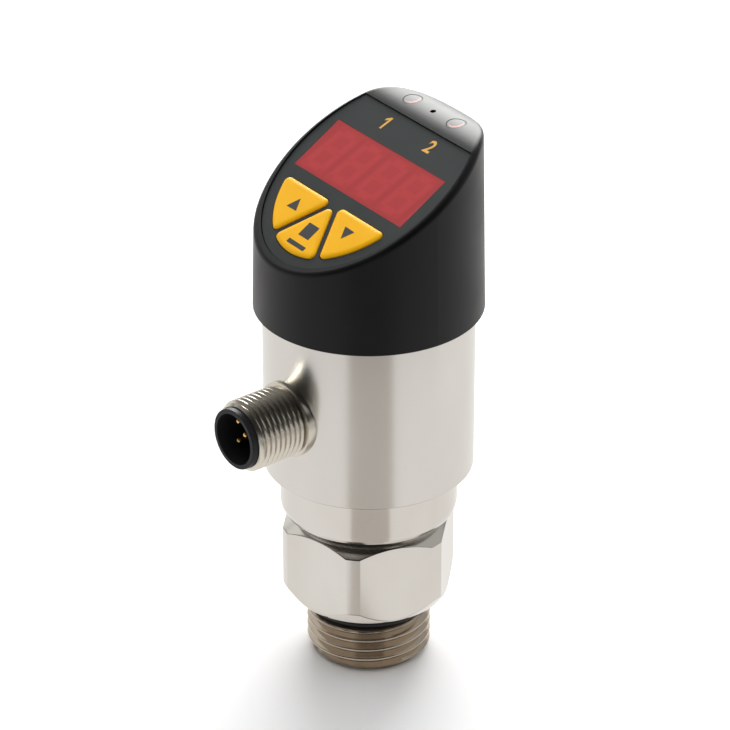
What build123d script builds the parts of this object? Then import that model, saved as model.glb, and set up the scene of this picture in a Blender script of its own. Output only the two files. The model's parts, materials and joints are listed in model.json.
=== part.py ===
"""Digital pressure switch: process connection, steel housing with a side connector, turning head.

Millimetres, +Z up. The origin is the centre of the pressure port's mouth, at the free end of the G1/2 thread.
The connector points along -Y. The display head is stored turned by HEAD_TURN about Z.
"""
from build123d import *
from math import cos, radians, sin, tan
import os

# ---- process connection (turned steel, hexagon across flats 27, G1/2 male thread) ----
THREAD_R = 10.4775
THREAD_PITCH = 1.8143
THREAD_DEPTH = 1.16
THREAD_CREST_FLAT = 0.36
THREAD_CRESTS = 5
FIRST_CREST_Z = 0.9
PORT_R = 4.0
UNDERCUT_R = 9.2
SEAL_SEAT_R = 11.4
SEAL_SEAT_Z = 12.3
HEX_BOTTOM_Z = 11.66
HEX_TOP_Z = 26.3
HEX_FLATS = 27.0
HEX_CORNER_R = 14.95
HEX_BOTTOM_FACE_R = 13.3
HEX_BOTTOM_CHAMFER_Z = 14.2
HEX_TOP_FACE_R = 12.9
HEX_TOP_CHAMFER_Z = 24.8
HEX_TURN = 9.85
NECK_R = 12.0
NECK_TOP_Z = 36.5
NECK_GROOVE_R = 10.9
NECK_GROOVE_Z = 29.6
NECK_GROOVE_H = 1.9
CIRCLIP_GROOVE_R = 11.2
CIRCLIP_R = 14.0
CIRCLIP_H = 1.2
CIRCLIP_GAP = 4.4

# ---- pressure sensor inside the process connection ----
SENSOR_POCKET_R = 9.1
SENSOR_POCKET_Z = 16.0
SENSOR_SEAL_R = 6.2
SENSOR_SEAL_HALF_W = 1.1
SENSOR_SEAL_DEPTH = 1.3
SENSOR_SEAL_WIRE_R = 0.62
CELL_H = 5.0
CLAMP_H = 3.5
CLAMP_BORE_R = 5.0
CLAMP_SLOT_W = 2.0
CLAMP_SLOT_H = 1.2
SENSOR_PIN_R = 0.4
SENSOR_PIN_CIRCLE_R = 3.2
SENSOR_BOARD_R = 4.6
SENSOR_BOARD_T = 1.0
SENSOR_CABLE_R = 1.1

# ---- housing: collar, tube and side connector ----
RUN_CLEAR = 0.08
COLLAR_R = 14.84
COLLAR_BOTTOM_Z = 26.55
COLLAR_LIP_R = 13.4
COLLAR_CHAMFER_Z = 29.0
COLLAR_SHELF_Z = 33.0
COLLAR_CUP_R = 14.15
TUBE_R = 17.5
TUBE_WALL = 1.1
TUBE_FLANGE_T = 1.4
TUBE_BOTTOM_Z = 36.0
TUBE_TOP_Z = 70.0
SPIGOT_R = 14.4
SPIGOT_H = 2.0
LIP_R = 15.2
LIP_T = 1.2
CONN_Z = 49.6
CONN_THREAD_R = 6.0
CONN_PITCH = 1.0
CONN_DEPTH = 0.6
CONN_CREST_FLAT = 0.16
CONN_CRESTS = 9
CONN_FIRST_CREST = 26.64
CONN_END = 27.25
CONN_BASE_R = 6.4
CONN_BASE_END = 17.95
CONN_TAIL_R = 5.65
CONN_TAIL_END = 9.6
CONN_HOLE_R = 5.7
SLEEVE_BORE_R = 5.16
LOCK_NUT_FACE = 12.1
LOCK_NUT_H = 2.4
LOCK_NUT_FLATS = 13.2
INSERT_FACE = 28.36
INSERT_BACK = 11.0
INSERT_R = 5.15
INSERT_CHAMFER = 0.1
SOCKET_R = 4.38
SOCKET_DEPTH = 9.0
RIB_HALF_W = 0.45
RIB_DEPTH = 0.75
PIN_TIP_DEPTH = 2.1
PIN_R = 0.5
PIN_TAIL = 9.5
PIN_OFFSET = 1.8
PIN_PLACES = [(0, 0)] + [(sx * PIN_OFFSET, sy * PIN_OFFSET) for sx in (-1, 1) for sy in (-1, 1)]
LEAD_R = 0.6

# ---- electronics in the housing ----
MAIN_BOARD_Y = 4.0
MAIN_BOARD_T = 1.6
MAIN_BOARD_HALF_W = 13.0
MAIN_BOARD_LOW_Z = 40.0
MAIN_BOARD_HIGH_Z = 65.0
CARRIER_HALF_W = 13.9
CARRIER_BACK = 2.6
BOARD_SCREW_X = 12.0
BOARD_SCREW_ZS = (42.5, 62.5)
SCREW_SHANK_R = 0.8
SCREW_HEAD_R = 1.4
SCREW_HEAD_H = 0.9
SENSOR_SOCKET_Z = 41.0
LINK_SOCKET_Z = 60.0
SOCKET_HALF_W = 4.5

# ---- display head ----
HEAD_TURN = -4.35
HEAD_BOTTOM_Z = 65.15
HEAD_BOTTOM_R = 19.0
HEAD_BOTTOM_EDGE = 0.12
HEAD_TOP_R = 18.25
HEAD_TAPER_Z = 100.0
HEAD_WALL = 2.0
HEAD_CEILING_Z = 92.6
HEAD_SHOULDER_Z = 71.2
RIM_FILLET = 1.0
FACE_TILT = 32.07
FACE_Z = 88.61
FACE_RECESS = 0.25
FACE_SKIN = 2.6
SEAM_V = 11.36
BARREL_R = 7.8
BARREL_END_ANGLE = 58.0
MEMBRANE_R = 17.28
MEMBRANE_T = 0.5
MEMBRANE_CLEAR = 0.08
WINDOW_W = 29.31
WINDOW_LOW_V = -5.25
WINDOW_HIGH_V = 5.15
WINDOW_STEP = 0.87
LENS_X = 5.9
LENS_Y = 12.95
LENS_R = 1.65
LENS_H = 3.1
VENT_Y = 12.7
VENT_R = 0.5
VENT_DISC_R = 1.5
VENT_DISC_T = 0.3

# ---- keys: three caps share a round outer edge, and two slanting gaps part them ----
KEY_CENTRES = {"key_up": (-7.4, -11.4), "key_set": (0.0, -13.8), "key_down": (7.4, -11.4)}
KEY_NAMES = tuple(KEY_CENTRES)
KEY_EDGE_R = 14.72
KEY_EDGE_V = -1.13
KEY_TOP_V = -7.58
KEY_APEX_V = -6.87
KEY_SPLIT = 30.0
KEY_GAP = 1.0
KEY_RAISE = 0.4
KEY_FILLET = 0.33
KEY_CLEAR = 0.12
KEY_CORNER = 0.92
KEY_TRAVEL = 0.35
STEM_SHRINK = 0.95
STEM_DEPTH = 3.0
PLUNGER_R = 1.4
PLUNGER_CLEAR = 0.03
DOME_R = 2.4
DOME_H = 0.5

# ---- electronics and fixings in the head ----
BOARD_DROP = 7.4
BOARD_T = 1.2
BOARD_R = 16.0
DISPLAY_BOARD_V = -1.6
DISPLAY_BOARD_H = 27.2
POST_R = 1.3
POST_HOLE_R = 0.7
POST_U = 9.4
POST_TOP_V = 7.4
POST_LOW_U = 14.1
POST_LOW_V = -6.7
RING_TOP_Z = 72.6
RING_R = 16.3
RING_BORE_R = 11.0
BOSS_R = 1.9
BOSS_H = 4.4
BOSS_CIRCLE_R = 14.7
BOSS_TURNS = (60, 180, 300)
RING_SCREW_HEAD_R = 1.5
FINGERS = 6
FINGER_HALF_W = 3.2
FINGER_T = 1.3
HOOK_REACH = 0.9
HOOK_H = 1.5
INDICATOR_Z = 89.4
INDICATOR_BOARD_T = 0.8
LED_R = 1.4
LED_H = 2.0
LED_DOME = 0.9
LINK_CABLE_R = 1.5
HEAD_SEAL_WIRE_R = 0.53

ON_FLOOR = (Align.CENTER, Align.CENTER, Align.MIN)
FACE_NORMAL = (0, -sin(radians(FACE_TILT)), cos(radians(FACE_TILT)))
FACE = Plane(origin=(0, 0, FACE_Z), x_dir=(1, 0, 0), z_dir=FACE_NORMAL)
FAR = 40.0


def disc(r, z0, z1):
    """Plain disc about Z."""
    return Pos(0, 0, z0) * Cylinder(r, z1 - z0, align=ON_FLOOR)


def tube(r_out, r_in, z0, z1):
    """Plain ring about Z."""
    return disc(r_out, z0, z1) - disc(r_in, z0, z1)


def block(x0, x1, y0, y1, z0, z1):
    """Box given by its six sides."""
    return Pos((x0 + x1) / 2, (y0 + y1) / 2, (z0 + z1) / 2) * Box(x1 - x0, y1 - y0, z1 - z0)


def turned(points):
    """Solid of revolution about Z from (radius, height) points."""
    outline = Polyline(*[(r, 0, z) for r, z in points], close=True)
    return revolve(make_face(outline), Axis.Z)


def ring_of_round(r_mid, r_wire, z):
    """O-ring about Z."""
    return Pos(0, 0, z) * Torus(r_mid, r_wire)


def thread_profile(crest_r, depth, pitch, crest_zs, crest_flat):
    """Outline points up a row of thread ridges, lowest ridge first, with narrow flat roots."""
    root_r = crest_r - depth
    slope = (pitch - crest_flat) * 0.42
    points = []
    for z in crest_zs:
        points += [(root_r, z - crest_flat / 2 - slope), (crest_r, z - crest_flat / 2)]
        points += [(crest_r, z + crest_flat / 2), (root_r, z + crest_flat / 2 + slope)]
    return points


def along_connector(shape):
    """Lay a solid made about Z, with height as distance from the main axis, along the connector's axis."""
    return Pos(0, 0, CONN_Z) * Rot(90, 0, 0) * shape


def on_head(shape):
    """Turn a piece of the display head to the angle that the head is stored at."""
    return Rot(0, 0, HEAD_TURN) * shape


def face_slab(sketch, low, high):
    """Solid on the sloping face, between two heights above the keypad's surface."""
    return extrude(FACE.offset(low) * sketch, high - low)


# ---------------------------------------------------------------- process connection
def process_connection():
    """Thread, undercut, hexagon and neck in one piece, with the port and the sensor's pocket."""
    crest_zs = [FIRST_CREST_Z + THREAD_PITCH * k for k in range(THREAD_CRESTS)]
    undercut_z = crest_zs[-1] + THREAD_PITCH * 0.45 + 0.2
    neck_groove_top = NECK_GROOVE_Z + NECK_GROOVE_H
    circlip_z = COLLAR_SHELF_Z + 0.1
    outline = [(0, 0), (THREAD_R - THREAD_DEPTH, 0)]
    outline += thread_profile(THREAD_R, THREAD_DEPTH, THREAD_PITCH, crest_zs, THREAD_CREST_FLAT)
    outline += [(UNDERCUT_R, undercut_z), (UNDERCUT_R, SEAL_SEAT_Z), (SEAL_SEAT_R, SEAL_SEAT_Z)]
    outline += [(SEAL_SEAT_R, HEX_BOTTOM_Z), (HEX_BOTTOM_FACE_R, HEX_BOTTOM_Z)]
    outline += [(HEX_CORNER_R, HEX_BOTTOM_CHAMFER_Z), (HEX_CORNER_R, HEX_TOP_CHAMFER_Z)]
    outline += [(HEX_TOP_FACE_R, HEX_TOP_Z), (NECK_R, HEX_TOP_Z)]
    outline += [(NECK_R, NECK_GROOVE_Z), (NECK_GROOVE_R, NECK_GROOVE_Z)]
    outline += [(NECK_GROOVE_R, neck_groove_top), (NECK_R, neck_groove_top)]
    outline += [(NECK_R, circlip_z), (CIRCLIP_GROOVE_R, circlip_z), (CIRCLIP_GROOVE_R, circlip_z + CIRCLIP_H)]
    outline += [(NECK_R, circlip_z + CIRCLIP_H), (NECK_R, NECK_TOP_Z), (0, NECK_TOP_Z)]
    body = turned(outline)
    hex_zone = extrude(RegularPolygon(HEX_FLATS / 2, 6, major_radius=False), HEX_TOP_Z)
    hex_zone = Rot(0, 0, HEX_TURN) * Pos(0, 0, HEX_BOTTOM_Z - 1) * hex_zone
    body = body & (disc(NECK_R + 0.5, 0, NECK_TOP_Z) + hex_zone)
    body -= disc(PORT_R, -1, NECK_TOP_Z)
    body -= disc(SENSOR_POCKET_R, SENSOR_POCKET_Z, NECK_TOP_Z + 1)
    return body - tube(SENSOR_SEAL_R + SENSOR_SEAL_HALF_W, SENSOR_SEAL_R - SENSOR_SEAL_HALF_W,
                       SENSOR_POCKET_Z - SENSOR_SEAL_DEPTH, SENSOR_POCKET_Z + 0.1)


def fitting_nodes():
    """Everything fixed to the process connection."""
    cell_top = SENSOR_POCKET_Z + CELL_H
    clamp_top = cell_top + CLAMP_H
    circlip_z = COLLAR_SHELF_Z + 0.1
    circlip = tube(CIRCLIP_R, CIRCLIP_GROOVE_R + 0.02, circlip_z + 0.05, circlip_z + CIRCLIP_H - 0.05)
    circlip -= block(-CIRCLIP_GAP / 2, CIRCLIP_GAP / 2, 0, FAR, circlip_z - 1, circlip_z + 2)
    seal = turned([(UNDERCUT_R + 0.05, 9.5), (10.9, 9.5), (11.3, 10.1), (11.3, SEAL_SEAT_Z - 0.02),
                   (UNDERCUT_R + 0.05, SEAL_SEAT_Z - 0.02)])
    clamp = tube(SENSOR_POCKET_R - 0.02, CLAMP_BORE_R, cell_top, clamp_top)
    for turn in (0, 90):
        slot = block(-FAR, FAR, -CLAMP_SLOT_W / 2, CLAMP_SLOT_W / 2, clamp_top - CLAMP_SLOT_H, clamp_top + 1)
        clamp -= Rot(0, 0, turn) * slot
    board_bottom = clamp_top - SENSOR_BOARD_T
    pin = Pos(SENSOR_PIN_CIRCLE_R, 0, 0) * disc(SENSOR_PIN_R, cell_top, board_bottom)
    return {
        "process_connection": process_connection(),
        "process_seal_ring": seal,
        "sensor_o_ring": ring_of_round(SENSOR_SEAL_R, SENSOR_SEAL_WIRE_R, SENSOR_POCKET_Z - 0.64),
        "sensor_cell": disc(SENSOR_POCKET_R - 0.05, SENSOR_POCKET_Z, cell_top),
        "sensor_clamp_ring": clamp,
        "sensor_contact_pins": [Rot(0, 0, turn) * pin for turn in range(0, 360, 90)],
        "sensor_board": disc(SENSOR_BOARD_R, board_bottom, clamp_top),
        "sensor_cable": disc(SENSOR_CABLE_R, clamp_top, SENSOR_SOCKET_Z),
        "neck_o_ring": ring_of_round(NECK_GROOVE_R + 0.53, 0.5, NECK_GROOVE_Z + NECK_GROOVE_H / 2),
        "neck_circlip": circlip,
    }


# ---------------------------------------------------------------- housing
def housing_collar():
    """Turned ring that runs on the neck and carries the tube."""
    bore_r = NECK_R + RUN_CLEAR
    spigot_top = TUBE_BOTTOM_Z + SPIGOT_H
    outline = [(bore_r, COLLAR_BOTTOM_Z), (COLLAR_LIP_R, COLLAR_BOTTOM_Z)]
    outline += [(COLLAR_LIP_R + 1.0, COLLAR_BOTTOM_Z + 1.1), (COLLAR_R - 0.12, COLLAR_CHAMFER_Z - 0.75)]
    outline += [(COLLAR_R, COLLAR_CHAMFER_Z), (COLLAR_R, TUBE_BOTTOM_Z)]
    outline += [(SPIGOT_R, TUBE_BOTTOM_Z), (SPIGOT_R, spigot_top), (COLLAR_CUP_R, spigot_top)]
    outline += [(COLLAR_CUP_R, COLLAR_SHELF_Z), (bore_r, COLLAR_SHELF_Z)]
    return turned(outline)


def housing_tube():
    """Drawn steel tube with a bottom flange, a top lip and the connector's hole."""
    inner = TUBE_R - TUBE_WALL
    flange_z = TUBE_BOTTOM_Z + TUBE_FLANGE_T
    lip_z = TUBE_TOP_Z - LIP_T
    outline = [(SPIGOT_R, TUBE_BOTTOM_Z), (TUBE_R - 0.25, TUBE_BOTTOM_Z), (TUBE_R, TUBE_BOTTOM_Z + 0.25)]
    outline += [(TUBE_R, TUBE_TOP_Z), (LIP_R, TUBE_TOP_Z), (LIP_R, lip_z), (inner, lip_z)]
    outline += [(inner, flange_z), (SPIGOT_R, flange_z)]
    return turned(outline) - along_connector(disc(CONN_HOLE_R, 5, FAR))


def connector_sleeve():
    """Threaded sleeve: M12x1 outside, a collar shaped to the tube, and a tail through its wall."""
    crests = [CONN_FIRST_CREST - CONN_PITCH * k for k in reversed(range(CONN_CRESTS))]
    root_r = CONN_THREAD_R - CONN_DEPTH
    outline = [(0, CONN_TAIL_END), (CONN_TAIL_R, CONN_TAIL_END), (CONN_TAIL_R, 13.0), (CONN_BASE_R, 13.0)]
    outline += [(CONN_BASE_R, CONN_BASE_END), (root_r, CONN_BASE_END + 0.15)]
    outline += thread_profile(CONN_THREAD_R, CONN_DEPTH, CONN_PITCH, crests, CONN_CREST_FLAT)
    outline += [(root_r, CONN_END), (0, CONN_END)]
    sleeve = along_connector(turned(outline) - disc(SLEEVE_BORE_R, 9, FAR))
    inside_tube = disc(TUBE_R + 0.02, 0, 90) - along_connector(disc(CONN_TAIL_R, 5, FAR))
    return sleeve - inside_tube


def connector_insert():
    """Moulded socket insert: a cup with the coding rib, and the pins' five holes."""
    body = disc(INSERT_R, INSERT_BACK, INSERT_FACE)
    body = chamfer(body.edges().group_by(Axis.Z)[-1], INSERT_CHAMFER)
    floor = INSERT_FACE - SOCKET_DEPTH
    body -= disc(SOCKET_R, floor, INSERT_FACE + 1)
    rib = block(SOCKET_R - RIB_DEPTH, SOCKET_R + 0.3, -RIB_HALF_W, RIB_HALF_W, floor, INSERT_FACE - 0.6)
    body += rib
    for x, y in PIN_PLACES:
        body -= Pos(x, y, 0) * disc(PIN_R, 9, floor + 1)
    return along_connector(body)


def connector_contacts():
    """Five round pins with domed tips."""
    pins = []
    for x, y in PIN_PLACES:
        pin = disc(PIN_R, PIN_TAIL, INSERT_FACE - PIN_TIP_DEPTH)
        pin = fillet(pin.edges().group_by(Axis.Z)[-1], PIN_R - 0.1)
        pins.append(along_connector(Pos(x, y, 0) * pin))
    return pins


def connector_leads():
    """Short insulated wires from the pins' tails to the board."""
    return [along_connector(Pos(x, y, 0) * disc(LEAD_R, -MAIN_BOARD_Y, PIN_TAIL)) for x, y in PIN_PLACES]


def main_board_nodes():
    """Circuit board across the tube, with what is soldered on it and what holds it."""
    front = MAIN_BOARD_Y
    back = MAIN_BOARD_Y + MAIN_BOARD_T
    low, high, half = MAIN_BOARD_LOW_Z, MAIN_BOARD_HIGH_Z, MAIN_BOARD_HALF_W
    board = block(-half, half, front, back, low, high)
    frame = block(-CARRIER_HALF_W, CARRIER_HALF_W, front, back + CARRIER_BACK, low - 1.4, high + 1.2)
    frame -= block(1.6 - half, half - 1.6, front - 1, back + 4, low + 1.6, high - 1.6)
    frame -= block(-half - 0.05, half + 0.05, front - 1, back, low - 0.05, high + 0.05)
    screws = []
    for x in (-BOARD_SCREW_X, BOARD_SCREW_X):
        for z in BOARD_SCREW_ZS:
            shank = Pos(x, front + 4, z) * Rot(90, 0, 0) * Cylinder(SCREW_SHANK_R, 5.0, align=ON_FLOOR)
            head = Pos(x, front, z) * Rot(90, 0, 0) * Cylinder(SCREW_HEAD_R, SCREW_HEAD_H, align=ON_FLOOR)
            screws.append(fillet(head.edges().group_by(Axis.Y)[0], 0.3) + shank)
            board -= shank
            frame -= shank
    transistor = block(-2.2, 2.2, back, back + 2.2, 43.2, 46.2)
    capacitor = Pos(0, back + 3.1, 55.5) * fillet(Cylinder(2.4, 6, align=ON_FLOOR).edges(), 0.4)
    return {
        "main_board": board,
        "board_carrier": frame,
        "board_screws": screws,
        "link_socket": block(-SOCKET_HALF_W, SOCKET_HALF_W, -2.4, front, 54.8, LINK_SOCKET_Z),
        "sensor_socket": block(-SOCKET_HALF_W, SOCKET_HALF_W, -2.2, front, SENSOR_SOCKET_Z, 44.6),
        "controller_chip": block(-3.5, 3.5, back, back + 1.6, 49, 56),
        "output_transistors": [Pos(x, 0, 0) * transistor for x in (-5.4, 5.4)],
        "smoothing_capacitors": [Pos(x, 0, 0) * capacitor for x in (-8.2, 8.2)],
    }


def housing_nodes():
    """Everything fixed to the steel housing."""
    nut = extrude(RegularPolygon(LOCK_NUT_FLATS / 2, 6, major_radius=False), LOCK_NUT_H)
    nut -= disc(CONN_HOLE_R, -1, LOCK_NUT_H + 1)
    nodes = {
        "housing_collar": housing_collar(),
        "housing_tube": housing_tube(),
        "connector_sleeve": connector_sleeve(),
        "connector_lock_nut": along_connector(Pos(0, 0, LOCK_NUT_FACE) * nut),
        "connector_insert": connector_insert(),
        "connector_contacts": connector_contacts(),
        "connector_leads": connector_leads(),
    }
    nodes.update(main_board_nodes())
    return nodes


# ---------------------------------------------------------------- display head
def barrel_centre():
    """Centre (y, z) of the rounded top, whose outside is tangent to the sloping face at the seam."""
    a = radians(FACE_TILT)
    seam_y = SEAM_V * cos(a) - FACE_RECESS * sin(a)
    seam_z = FACE_Z + SEAM_V * sin(a) + FACE_RECESS * cos(a)
    return seam_y + BARREL_R * sin(a), seam_z - BARREL_R * cos(a)


def side_profile(offset, reach=24.0):
    """Region under the sloping face and the rounded top, lowered by offset and swept across the head."""
    slope = radians(FACE_TILT)
    cy, cz = barrel_centre()
    r = BARREL_R - offset

    def on_barrel(angle):
        return cy + r * sin(angle), cz + r * cos(angle)

    seam = on_barrel(-slope)
    end_angle = radians(BARREL_END_ANGLE)
    end = on_barrel(end_angle)
    front = (-reach, seam[1] - (seam[0] + reach) * tan(slope))
    back = (reach, end[1] - (reach - end[0]) * tan(end_angle))
    floor_z = HEAD_BOTTOM_Z - 25
    with BuildPart() as part:
        with BuildSketch(Plane.YZ.offset(-reach)):
            with BuildLine():
                Line(front, seam)
                ThreePointArc(seam, on_barrel(radians(4)), end)
                Polyline(end, back, (reach, floor_z), (-reach, floor_z), front)
            make_face()
        extrude(amount=2 * reach)
    return part.part


def below_seam(sketch, seam_gap=0.0):
    """The part of a sketch on the face that lies below the seam."""
    return sketch & Pos(0, SEAM_V - seam_gap - FAR) * Rectangle(2 * FAR, 2 * FAR)


def disc_on_face(radius):
    """Sketch on the face that looks round from above."""
    return scale(Circle(radius), (1, 1 / cos(radians(FACE_TILT)), 1))


def key_sketch(name, shrink=0.0):
    """Outline of one key on the face, smaller by shrink all round."""
    gap = KEY_GAP / 2 + shrink
    rounded = Pos(0, KEY_EDGE_V) * disc_on_face(KEY_EDGE_R - shrink)
    half = radians(KEY_SPLIT)
    dx, dy = FAR * sin(half), -FAR * cos(half)
    if name == "key_set":
        tip = KEY_APEX_V - gap / sin(half)
        shape = rounded & make_face(Polyline((0, tip), (dx, tip + dy), (-dx, tip + dy), close=True))
    else:
        side = -1 if name == "key_up" else 1
        top = KEY_TOP_V - shrink
        start = (side * (gap / cos(half) + (KEY_APEX_V - top) * tan(half)), top)
        far = (start[0] + side * dx, start[1] + dy)
        shape = rounded & make_face(Polyline(start, far, (side * 60, far[1]), (side * 60, top), close=True))
    return fillet(shape.vertices(), max(KEY_CORNER - shrink, 0.3))


def head_outer():
    """Outside of the head with its rounded rim, before its openings are cut."""
    outline = [(0, HEAD_BOTTOM_Z), (HEAD_BOTTOM_R - HEAD_BOTTOM_EDGE, HEAD_BOTTOM_Z)]
    outline += [(HEAD_BOTTOM_R, HEAD_BOTTOM_Z + HEAD_BOTTOM_EDGE), (HEAD_TOP_R, HEAD_TAPER_Z)]
    outline += [(0, HEAD_TAPER_Z)]
    body = turned(outline)
    body = body & side_profile(0)
    rim = [e for e in body.edges() if e.bounding_box().min.Z > HEAD_BOTTOM_Z + 2]
    rim = [e for e in rim if (e @ 0.5).X ** 2 + (e @ 0.5).Y ** 2 > (HEAD_TOP_R - 0.6) ** 2]
    return fillet(rim, RIM_FILLET)


def head_inside():
    """Hollow of the head above the shoulder that the tube's O-ring seals on."""
    inner = turned([(0, HEAD_SHOULDER_Z), (HEAD_BOTTOM_R - HEAD_WALL - 0.4, HEAD_SHOULDER_Z),
                    (HEAD_TOP_R - HEAD_WALL, HEAD_CEILING_Z), (0, HEAD_CEILING_Z)])
    return inner & side_profile(FACE_SKIN)


def ring_bosses(radius, z0, z1):
    """Three equal posts or screws in a circle, where the retaining ring is fixed."""
    return [Rot(0, 0, turn) * Pos(0, BOSS_CIRCLE_R, 0) * disc(radius, z0, z1) for turn in BOSS_TURNS]


def board_posts(radius, low, high):
    """Four posts or screws square to the face, where the display board is fixed."""
    places = [(sx * u, v) for u, v in ((POST_U, POST_TOP_V), (POST_LOW_U, POST_LOW_V)) for sx in (-1, 1)]
    return [face_slab(Pos(u, v) * Circle(radius), low, high) for u, v in places]


def window_sketch(grow=0.0):
    """Rectangle of the display window on the face, larger or smaller all round."""
    height = WINDOW_HIGH_V - WINDOW_LOW_V
    middle = (WINDOW_HIGH_V + WINDOW_LOW_V) / 2
    return Pos(0, middle) * Rectangle(WINDOW_W + 2 * grow, height + 2 * grow)


def head_shell():
    """Moulded black head: skirt, sloping face with its shallow recess, rounded top."""
    body = head_outer() - head_inside()
    body -= disc(TUBE_R + RUN_CLEAR, HEAD_BOTTOM_Z - 1, HEAD_SHOULDER_Z)
    for boss in ring_bosses(BOSS_R, RING_TOP_Z, RING_TOP_Z + BOSS_H):
        body += boss & side_profile(1.0)
    for post in board_posts(POST_R, -BOARD_DROP, -1.0):
        body += post & disc(HEAD_TOP_R - 1.0, 60, HEAD_TAPER_Z)
    recess = below_seam(disc_on_face(MEMBRANE_R + MEMBRANE_CLEAR), -0.06)
    body -= face_slab(recess, -MEMBRANE_T, FACE_RECESS + 3)
    body -= face_slab(window_sketch(0.02 - WINDOW_STEP), -FACE_SKIN - 2, 1)
    for name in KEY_NAMES:
        body -= face_slab(key_sketch(name, STEM_SHRINK - KEY_CLEAR), -FACE_SKIN - 2, 1)
    for x in (-LENS_X, LENS_X):
        body -= Pos(x, LENS_Y, 0) * disc(LENS_R + 0.02, 80, 110)
    body -= Pos(0, VENT_Y, 0) * disc(VENT_R, 80, 110)
    holes = ring_bosses(SCREW_SHANK_R, RING_TOP_Z - 1, RING_TOP_Z + 2.6)
    for hole in holes + board_posts(POST_HOLE_R, -BOARD_DROP - 1, -BOARD_DROP + 3):
        body -= hole
    return body


def keypad_membrane():
    """Front film in the recess, with openings for the window and the three keys."""
    film = face_slab(below_seam(disc_on_face(MEMBRANE_R)), -MEMBRANE_T + 0.01, 0)
    film -= face_slab(window_sketch(0.02), -1, 1)
    for name in KEY_NAMES:
        film -= face_slab(key_sketch(name, -KEY_CLEAR), -1, 1)
    return film


def display_window():
    """Red filter: a flush front plate with a smaller step that passes through the shell."""
    front = face_slab(window_sketch(), -MEMBRANE_T + 0.01, -0.02)
    return front + face_slab(window_sketch(-WINDOW_STEP), -FACE_SKIN + 0.2, -MEMBRANE_T + 0.01)


def key(name, centre):
    """Raised key cap with a stem through the shell and a round plunger over its snap dome."""
    cap = face_slab(key_sketch(name), -KEY_CLEAR, KEY_RAISE)
    top = cap.faces().sort_by(Axis((0, 0, 0), FACE_NORMAL))[-1]
    cap = fillet(top.edges(), KEY_FILLET)
    stem = face_slab(key_sketch(name, STEM_SHRINK), -STEM_DEPTH, -KEY_CLEAR)
    plunger_end = -BOARD_DROP + DOME_H + KEY_TRAVEL + PLUNGER_CLEAR
    return cap + stem + face_slab(Pos(*centre) * Circle(PLUNGER_R), plunger_end, -STEM_DEPTH)


def display_board():
    """Circuit board parallel to the face, cut to clear the head's inside."""
    outline = Pos(0, DISPLAY_BOARD_V) * Rectangle(2 * FAR, DISPLAY_BOARD_H)
    board = face_slab(outline, -BOARD_DROP - BOARD_T, -BOARD_DROP)
    board = board & disc(BOARD_R, 60, HEAD_TAPER_Z)
    for hole in board_posts(POST_HOLE_R + 0.05, -12, 0):
        board -= hole
    return board


def head_retaining_ring():
    """Ring screwed into the head, with hooked fingers that hold the tube's top lip from inside."""
    ring = tube(RING_R, RING_BORE_R, HEAD_SHOULDER_Z, RING_TOP_Z)
    hook_top = TUBE_TOP_Z - LIP_T - 0.1
    finger = tube(LIP_R - RUN_CLEAR, LIP_R - FINGER_T, hook_top - HOOK_H, HEAD_SHOULDER_Z)
    finger += tube(LIP_R + HOOK_REACH, LIP_R - FINGER_T, hook_top - HOOK_H, hook_top)
    for k in range(FINGERS):
        wedge = Rot(0, 0, k * 360 / FINGERS) * block(-FINGER_HALF_W, FINGER_HALF_W, 8, 20, 60, 80)
        ring += finger & wedge
    counterbores = ring_bosses(RING_SCREW_HEAD_R + 0.05, 60, HEAD_SHOULDER_Z + 1.0)
    for hole in ring_bosses(SCREW_SHANK_R + 0.05, 60, 80) + counterbores:
        ring -= hole
    return ring


def indicator_nodes():
    """The two signal lamps under the rounded top, with their light pipes, board and header."""
    lenses, leds = [], []
    board_top = INDICATOR_Z + INDICATOR_BOARD_T
    led = disc(LED_R, board_top, board_top + LED_H)
    led = fillet(led.edges().group_by(Axis.Z)[-1], LED_DOME)
    for x in (-LENS_X, LENS_X):
        lenses.append(Pos(x, LENS_Y, 0) * disc(LENS_R, INDICATOR_Z + LENS_H, 110) & side_profile(0.04))
        leds.append(Pos(x, LENS_Y, 0) * led)
    board = block(-8.2, 8.2, 10.4, 15.2, INDICATOR_Z, board_top) & disc(BOARD_R, 60, HEAD_TAPER_Z)
    under_board = face_slab(Rectangle(2 * FAR, 2 * FAR), -60, -BOARD_DROP)
    return {
        "indicator_lenses": lenses,
        "indicator_leds": leds,
        "indicator_board": board,
        "indicator_header": block(-4, 4, 11.2, 13.2, 84, INDICATOR_Z) - under_board,
    }


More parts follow.
